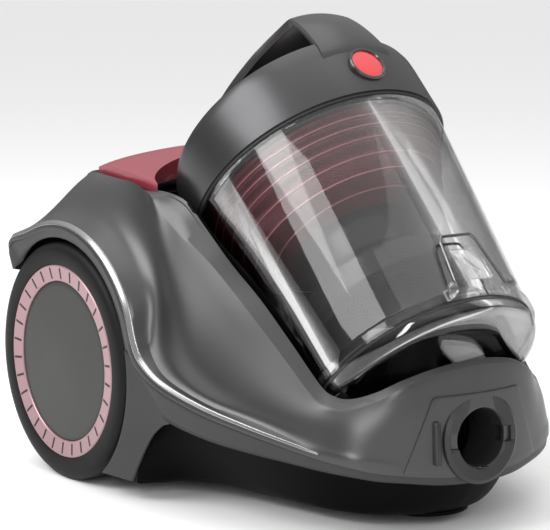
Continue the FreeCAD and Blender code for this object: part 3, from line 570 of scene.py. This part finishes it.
def make_pedal(name, side):
    def top(u, v):
        x = 0.6 + u * 110.0
        start = max(front_edge(x, 2.0), 41.6)
        y = start + (154.4 - start) * v
        width = deck_half(y) - 1.0
        x = 0.6 + u * (width - 0.6)
        rise = min((y - 41) / 98, 1.0)
        z = 230 + 14 * math.sin(rise * math.pi / 2) * (1 - 0.7 * u ** 1.7)
        z -= 0.12 * (5.0 * max(0.0, y - 132) / 22) ** 2 + 2.0 * u ** 8
        return Vector((side * x, y, z))
    bm = grid(top, 26, 26)
    rim = [edge for edge in bm.edges if edge.is_boundary]
    wall = bmesh.ops.extrude_edge_only(bm, edges=rim)
    lower = [item for item in wall["geom"] if isinstance(item, bmesh.types.BMVert)]
    for point in lower:
        point.co.z = min(point.co.z - 7.5, 222.8)
    bmesh.ops.recalc_face_normals(bm, faces=bm.faces)
    finish(name + "_visual", bm, PEDAL, name, [name], crease=40, thick=2.0,
           bevel=1.0)


# ------------------------------------------------------------------ hose socket and nose panel
def nose_front(x, z):
    """Y of the nose's front face."""
    return -196.4 + 0.0038 * x * x + 0.03 * (z - 46)


def make_nose():
    def panel(u, v):
        angle = math.tau * u
        across, up = math.sin(angle), math.cos(angle)
        reach = 1e3
        for slope_x, slope_z, limit in ((0, 1, 31.5), (0, -1, 20.5), (1, 0.4, 50.6),
                                        (-1, 0.4, 50.6)):
            towards = across * slope_x + up * slope_z
            if towards > 1e-6:
                reach = min(reach, limit / towards)
        radius = 21 + (reach - 21) * v
        x, z = across * radius, 68.5 + up * radius
        return Vector((x, nose_front(x, z) - 0.8, z))
    bm = grid(panel, 96, 8)
    bmesh.ops.remove_doubles(bm, verts=bm.verts, dist=0.01)
    bmesh.ops.recalc_face_normals(bm, faces=bm.faces)
    bm.normal_update()
    if next(iter(bm.faces)).normal.y > 0:
        bmesh.ops.reverse_faces(bm, faces=bm.faces)
    finish("nose_panel", bm, SHELL, "chassis", thick=2.4, bevel=0.7,
           crease=30)

    def face(u, v):
        angle = math.tau * u
        notch = min(max((math.cos(2 * angle) - 0.86) / 0.08, 0.0), 1.0)
        mouth = 20.8 + 6.7 * notch
        profile = [(mouth - 0.3, -12), (mouth - 0.3, -1.5), (mouth + 1.0, 0.2), (29.5, 0.8),
                   (32.2, -1.2), (32.2, -9)]
        radius, height = profile[round(v * 5)]
        return Vector((radius * math.cos(angle), radius * math.sin(angle), height))
    collar = grid(face, 144, 5)
    bmesh.ops.remove_doubles(collar, verts=collar.verts, dist=0.01)
    bmesh.ops.recalc_face_normals(collar, faces=collar.faces)
    finish("hose_socket_visual", collar, SOCKET_GREY, "chassis", ["hose_socket"],
           where=SOCKET)
    bore = spun([(20.5, -11.5), (29, -11.5), (29, -14), (22.5, -14), (22.5, -34), (20.5, -34)], 96)
    finish("socket_bore", bore, INNER, "chassis", where=SOCKET)
    throat = spun([(22.4, -33.5), (22.4, -40), (0.01, -40), (0.01, -39), (21.4, -38.6),
                   (21.4, -33.5)], 64)
    finish("socket_throat", throat, TRAY, "chassis", where=SOCKET)
    tab = block((5, 30, 7), (-36.5, 0, -5), 1.6)
    finish("socket_latch_tab", tab, SOCKET_GREY, "chassis", where=SOCKET)


# ------------------------------------------------------------------ wheels
WHEEL_INNER = 118.6
TICK_COUNT = 30
TICK_CENTRE = (66.8, 0, 34.35)


def make_wheels():
    for name, side in (("left", -1), ("right", 1)):
        turn = Matrix.Rotation(math.radians(90 * side), 4, "Y")
        hub = Matrix.Translation((WHEEL_INNER * side, AXLE.y, AXLE.z)) @ turn
        body = "wheel_" + name
        tyre = spun([(73, 0.4), (84, 0), (87.5, 1), (89.4, 3.2), (90, 7), (90, 29), (89.3, 32.8),
                     (87.2, 35), (83, 36), (76, 36), (73.4, 35.4), (73, 34)], 144)
        finish("tyre_visual_" + name, tyre, TYRE, body, ["tyre_" + name],
               where=hub, crease=50)
        ring = spun([(60.6, 31), (60.6, 33.6), (61.2, 34.2), (72.0, 35.8), (72.9, 35.2),
                     (72.9, 31)], 144)
        finish("accent_ring_visual_" + name, ring, ACCENT, body, ["accent_ring_" + name],
               where=hub)
        ticks = []
        for index in range(TICK_COUNT):
            tick = block((8.6, 1.7, 2.0), TICK_CENTRE, 0.3, 2)
            slope = Matrix.Rotation(math.atan2(-1.6, 10.8), 4, "Y")
            bmesh.ops.rotate(tick, cent=TICK_CENTRE, matrix=slope.to_3x3(), verts=tick.verts)
            spoke = Matrix.Rotation(index * math.tau / TICK_COUNT, 3, "Z")
            bmesh.ops.rotate(tick, cent=(0, 0, 0), matrix=spoke, verts=tick.verts)
            ticks.append(tick)
        finish("ring_ticks_" + name, joined(*ticks), TICK, body, where=hub)
        disc = spun([(0.01, 28), (60.3, 28), (60.3, 32.6), (59.4, 33.2), (56, 33.4), (0.01, 34.4)],
                    144)
        finish("hub_disc_visual_" + name, disc, HUB, body, ["hub_disc_" + name],
               where=hub, crease=40)


# ------------------------------------------------------------------ bin
def tilt_top(bm, above=24.0, slope=0.072):
    """Tilt everything above a height, so that the front of the lid stands higher."""
    for point in bm.verts:
        share = min(max((point.co.z - above) / 20.0, 0.0), 1.0)
        point.co.z -= slope * point.co.y * share


HANDLE_PATH = [(99.5, 34, 30), (100.6, 42, 29.5), (99.2, 52, 28.5), (96, 64, 27.4),
               (92, 75, 26.4), (87.4, 84.4, 25.5), (83.6, 90, 25), (78.6, 92.4, 25.2),
               (70, 93.2, 28), (56, 93.4, 34), (40, 92.6, 41), (14, 89.5, 50), (-14, 83.5, 57),
               (-44, 72, 61), (-66, 56, 62), (-72, 38, 61)]


def make_lid():
    lid = spun([(97.0, 2), (98.4, 0.6), (100.9, 0.6), (101, 1.4), (100.2, 36), (99.7, 41),
                (98.4, 44.4), (96, 46), (92, 46.2), (84, 44.4), (60, 43), (30, 42.4),
                (0.01, 42.2), (0.01, 40), (60, 40.5), (84, 41.8), (92, 42), (96, 38),
                (97.2, 32)], 160)
    tilt_top(lid)
    finish("bin_lid_visual", lid, LID, "bin", ["bin_lid"], where=BIN, crease=35)

    def bridge(u, v):
        out, height, half = spline(HANDLE_PATH, v)
        ahead = spline(HANDLE_PATH, min(v + 0.01, 1.0))
        behind = spline(HANDLE_PATH, max(v - 0.01, 0.0))
        run = Vector((behind.x - ahead.x, ahead.y - behind.y)).normalized()
        across = 2 * u - 1
        drop = (0.15 * half - 0.5) * across ** 2
        return Vector((across * half, -out + drop * run.y, height - drop * run.x))
    handle = grid(bridge, 20, 90)
    handle.normal_update()
    highest = max(handle.faces, key=lambda face: face.calc_center_median().z)
    if highest.normal.z < 0:
        bmesh.ops.reverse_faces(handle, faces=handle.faces)
    finish("carry_handle", handle, LID, "bin", where=BIN, thick=6.0, bevel=1.2,
           crease=35)


def make_badge():
    """A plain domed red disc in a dark bezel on the front of the lid."""
    where = BIN @ Matrix.Translation((0, -100.2, 24)) @ Matrix.Rotation(math.radians(90), 4, "X")
    rim = spun([(12.2, -1), (14.5, -1), (14.5, 1.9), (13.9, 2.8), (12.9, 2.9), (12.2, 2.2)], 64)
    finish("badge_bezel", rim, BADGE_RIM, "bin", where=where)
    dome = spun([(0.01, -1), (12.3, -1), (12.3, 1.6), (9.5, 2.1), (5, 2.4), (0.01, 2.5)], 64)
    finish("badge_disc", dome, BADGE, "bin", ["lid_badge"], where=where)


def make_cup():
    cup = spun([(98, -1.8), (97.6, -7), (86.7, -163.5), (87.4, -165), (88.4, -166.4),
                (88.4, -171), (87.6, -172), (84.2, -172), (84.0, -165), (84.3, -163),
                (95, -7), (95.4, -1.8)], 160)
    finish("bin_cup_visual", cup, CLEAR, "bin", ["bin_cup"], where=BIN, crease=35)
    seal = spun([(95.5, 0.9), (99.6, 0.9), (99.6, -1.6), (95.5, -1.6)], 160)
    finish("cup_top_seal", seal, SEAL, "bin", where=BIN)
    lugs = joined(*[block((4, 12, 8), (x, -88.5, -168), 0.8) for x in (-25.5, 25.5)],
                  *[block((8, 7, 9), (x, 83.5, -175.5), 0.8) for x in (-13, 13)])
    finish("cup_lugs", lugs, CLEAR, "bin", where=BIN)
    flap = spun([(0.01, -186), (76, -186), (82, -183.5), (85, -179), (85.6, -173.2),
                 (83.4, -173.2), (82.6, -178.6), (80, -181.6), (75, -183.4), (0.01, -183.4)], 160)
    finish("bottom_flap_visual", flap, CLEAR, "bin_flap", ["bottom_flap"], where=BIN,
           crease=35)


def make_latch():
    """Bent wire bail and the clear lever between its legs."""
    front = -91.5
    path = [(-27, front, -168), (-21.3, front, -168), (-20.4, front, -162),
            (-15.5, front - 1, -130), (-12.5, front - 1.4, -125.6), (12.5, front - 1.4, -125.6),
            (15.5, front - 1, -130), (20.4, front, -162), (21.3, front, -168),
            (27, front, -168)]
    finish("bail_wire_visual", wire(path, 1.1), CHROME, "bin_latch", ["bail_wire_loop"],
           where=BIN)
    lever = block((24, 2.2, 26), (0, front - 1.0, -150), 1.0)
    finish("latch_lever_visual", lever, CLEAR, "bin_latch", ["latch_lever"],
           where=BIN)


CYCLONE_STEPS = [(92.8, -4), (90.4, -12), (87.9, -19), (84.4, -27.5), (79, -38), (74.6, -49),
                 (62, -56)]


def make_cyclone():
    top = spun([(92.5, -2), (92.5, -8), (90, -9.5), (90, -15), (87.5, -16.5), (87.5, -22),
                (84, -24), (84, -31), (79, -34), (78, -44), (74, -50), (62, -56), (46, -59),
                (44, -58), (60, -54), (72, -48), (76, -43), (77, -33), (82, -29.5), (82, -23),
                (85.5, -21), (85.5, -15.5), (88, -14), (88, -8.5), (90.5, -7), (90.5, -2)], 128)
    finish("cyclone_top_visual", top, CYCLONE, "bin", ["cyclone_top"], where=BIN,
           crease=25)
    edges = joined(*[spun([(radius - 0.7, depth - 0.45), (radius + 0.4, depth - 0.45),
                           (radius + 0.4, depth + 0.45), (radius - 0.7, depth + 0.45)], 96)
                     for radius, depth in CYCLONE_STEPS])
    finish("cyclone_step_edges", edges, ROSE, "bin", where=BIN)
    chute = spun([(77, -34), (75, -52), (66, -70), (50, -86), (36, -96), (34, -94), (48, -84),
                  (64, -68), (73, -51), (75, -34)], 40, sweep=math.radians(84),
                 start=math.radians(-82))
    bmesh.ops.holes_fill(chute, edges=[edge for edge in chute.edges if edge.is_boundary])
    bmesh.ops.recalc_face_normals(chute, faces=chute.faces)
    finish("cyclone_inlet_chute", chute, SMOKY, "bin", where=BIN)
    cone = spun([(44, -58), (44, -84), (42, -100), (34, -150), (32, -150), (40, -100), (42, -84),
                 (42, -58)], 96)
    finish("cyclone_cone_visual", cone, SMOKY, "bin", ["cyclone_cone"], where=BIN)
    shroud = spun([(33, -60), (34, -72), (61, -112), (67, -115.5), (68.5, -116.5), (68.5, -121),
                   (67, -121), (66.6, -118), (60, -114), (32.6, -73), (31.4, -60)], 128)
    finish("filter_shroud_visual", shroud, SMOKY, "bin", ["filter_shroud"],
           where=BIN, crease=25)
    skirt = spun([(60, -100), (60, -116), (70, -131), (71.5, -131), (61.5, -116), (61.5, -100)],
                 128)
    finish("shroud_skirt_visual", skirt, SMOKY, "bin", ["shroud_skirt"], where=BIN)


def dress_cad_nodes():
    """Give every CAD node that stays the finish of its material slot."""
    slots = {part["node"]: part["material_slot"] for part in frame["record"]["subparts"]}
    for node, thing in frame["nodes"].items():
        material = SLOT_MATERIALS[slots[node]]
        if not thing.material_slots:
            thing.data.materials.append(material)
        for item in thing.material_slots:
            item.material = material


# ------------------------------------------------------------------ stage
def make_stage():
    bm = bmesh.new()
    bmesh.ops.create_grid(bm, x_segments=1, y_segments=1, size=60.0)
    mesh = bpy.data.meshes.new("floor")
    bm.to_mesh(mesh)
    bm.free()
    floor = bpy.data.objects.new("floor", mesh)
    material, _, shader = node_material("floor_white")
    shader.inputs["Base Color"].default_value = (0.93, 0.93, 0.93, 1)
    shader.inputs["Roughness"].default_value = 0.6
    mesh.materials.append(material)
    bpy.context.scene.collection.objects.link(floor)
    world = bpy.data.worlds.new("studio")
    world.use_nodes = True
    sky = world.node_tree
    sky.nodes["Background"].inputs["Color"].default_value = (1, 1, 1, 1)
    direction = sky.nodes.new("ShaderNodeTexCoord")
    split = sky.nodes.new("ShaderNodeSeparateXYZ")
    height = sky.nodes.new("ShaderNodeMapRange")
    height.inputs["From Min"].default_value = 0.0
    height.inputs["From Max"].default_value = 0.9
    height.inputs["To Min"].default_value = 0.1
    height.inputs["To Max"].default_value = 1.2
    sky.links.new(direction.outputs["Generated"], split.inputs["Vector"])
    sky.links.new(split.outputs["Z"], height.inputs["Value"])
    sky.links.new(height.outputs["Result"], sky.nodes["Background"].inputs["Strength"])
    bpy.context.scene.world = world


def softbox(name, place, target, width, height, watts, colour=(1, 1, 1)):
    light = bpy.data.lights.new(name, "AREA")
    light.shape = "RECTANGLE"
    light.size = width
    light.size_y = height
    light.energy = watts
    light.color = colour
    lamp = bpy.data.objects.new(name, light)
    lamp.location = place
    aim = Vector(target) - Vector(place)
    lamp.rotation_euler = aim.to_track_quat("-Z", "Y").to_euler()
    bpy.context.scene.collection.objects.link(lamp)
    return lamp


def make_lights():
    softbox("key", (-1.6, 0.35, 1.5), (0, 0, 0.15), 1.4, 1.1, 30)
    softbox("fill", (1.5, -1.2, 1.2), (0, 0, 0.15), 1.2, 1.2, 5)
    softbox("top", (0.1, 0.3, 2.0), (0, 0, 0.1), 1.6, 1.6, 10)
    softbox("window", (-1.3, -1.5, 0.9), (0, -0.1, 0.2), 0.25, 1.1, 14)


def make_camera():
    azimuth, elevation = math.radians(-35.38), math.radians(8.74)
    back = Vector((math.sin(azimuth) * math.cos(elevation),
                   -math.cos(azimuth) * math.cos(elevation), math.sin(elevation)))
    lens = bpy.data.cameras.new("camera")
    lens.sensor_width = 36
    lens.lens = 150.5
    lens.clip_end = 30
    camera = bpy.data.objects.new("camera", lens)
    camera.location = (-1.00555, -1.36749, 0.42424)
    camera.rotation_euler = (-back).to_track_quat("-Z", "Y").to_euler()
    bpy.context.scene.collection.objects.link(camera)
    bpy.context.scene.camera = camera
    bpy.context.scene.view_settings.view_transform = "Standard"


dress_cad_nodes()
make_casing()
make_front_legs()
make_tray()
make_cradle()
make_deck()
make_pedal("power_pedal", -1)
make_pedal("rewind_pedal", 1)
make_nose()
make_wheels()
make_lid()
make_badge()
make_cup()
make_latch()
make_cyclone()
make_stage()
make_lights()
make_camera()
